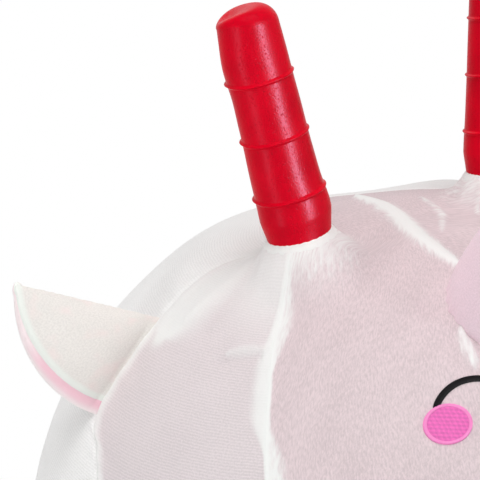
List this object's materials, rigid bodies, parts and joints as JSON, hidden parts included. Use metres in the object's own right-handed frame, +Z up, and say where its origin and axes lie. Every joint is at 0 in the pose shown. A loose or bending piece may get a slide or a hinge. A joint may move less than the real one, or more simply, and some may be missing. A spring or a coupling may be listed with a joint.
{
  "type": "hopper ball",
  "caption": "Inflated hopper ball with two ringed handles, in a zipped plush cover with a stitched animal face, bending stuffed ears and a stuffed horn.",
  "frame": {"origin": "middle of the flat patch under the ball, where it rests on the floor", "axes": "+Z up through the crown, -Y towards the face, +X towards the right of someone who looks at the face"},
  "size_m": [0.455, 0.4612, 0.5802],
  "materials": {
    "vinyl": "satin",
    "valve_plastic": "satin",
    "white_plush": "matte",
    "pink_plush": "matte",
    "stuffing": "matte",
    "black_thread": "satin",
    "magenta_thread": "satin",
    "zip_tape": "matte",
    "zip_plastic": "satin",
    "zip_metal": "satin"
  },
  "bodies": {
    "ball": {"ball_shell": "vinyl", "left_handle": "vinyl", "right_handle": "vinyl", "valve_seat": "valve_plastic", "valve_plug": "valve_plastic", "face_panel": "white_plush", "left_side_panel": "white_plush", "right_side_panel": "white_plush", "left_back_panel": "white_plush", "right_back_panel": "white_plush", "base_panel": "white_plush", "left_handle_hem": "white_plush", "right_handle_hem": "white_plush", "horn_skin": "pink_plush", "horn_stuffing": "stuffing", "left_eye": "black_thread", "right_eye": "black_thread", "left_cheek": "magenta_thread", "right_cheek": "magenta_thread", "left_zip_tape": "zip_tape", "right_zip_tape": "zip_tape", "left_zip_teeth": "zip_plastic", "right_zip_teeth": "zip_plastic", "zip_top_stop": "zip_metal", "zip_bottom_stop": "zip_metal"},
    "left_ear": {"left_ear_front": "white_plush", "left_ear_back": "pink_plush", "left_ear_stuffing": "stuffing"},
    "right_ear": {"right_ear_front": "white_plush", "right_ear_back": "pink_plush", "right_ear_stuffing": "stuffing"},
    "zip_runner": {"zip_slider": "zip_metal", "zip_pin": "zip_metal"},
    "zip_tab": {"zip_pull": "zip_metal"}
  },
  "joints": [
    {"name": "left_ear_bend", "type": "hinge", "parent": "ball", "child": "left_ear", "pos_m": [-0.16027, 0.05238, 0.38229], "axis": [-0.7008, 0.0121, -0.7133], "range_deg": [-60, 60], "stiffness_Nm_per_rad": 0.3},
    {"name": "right_ear_bend", "type": "hinge", "parent": "ball", "child": "right_ear", "pos_m": [0.16027, 0.05238, 0.38229], "axis": [-0.7008, -0.0121, 0.7133], "range_deg": [-60, 60], "stiffness_Nm_per_rad": 0.3},
    {"name": "zip_slide", "type": "hinge", "parent": "ball", "child": "zip_runner", "pos_m": [0, 0, 0.22396], "axis": [-1, 0, 0], "range_deg": [0, 58.5]},
    {"name": "zip_pull_swing", "type": "hinge", "parent": "zip_runner", "child": "zip_tab", "pos_m": [0, 0.23157, 0.24736], "axis": [1, 0, 0], "range_deg": [-4, 160]}
  ]
}
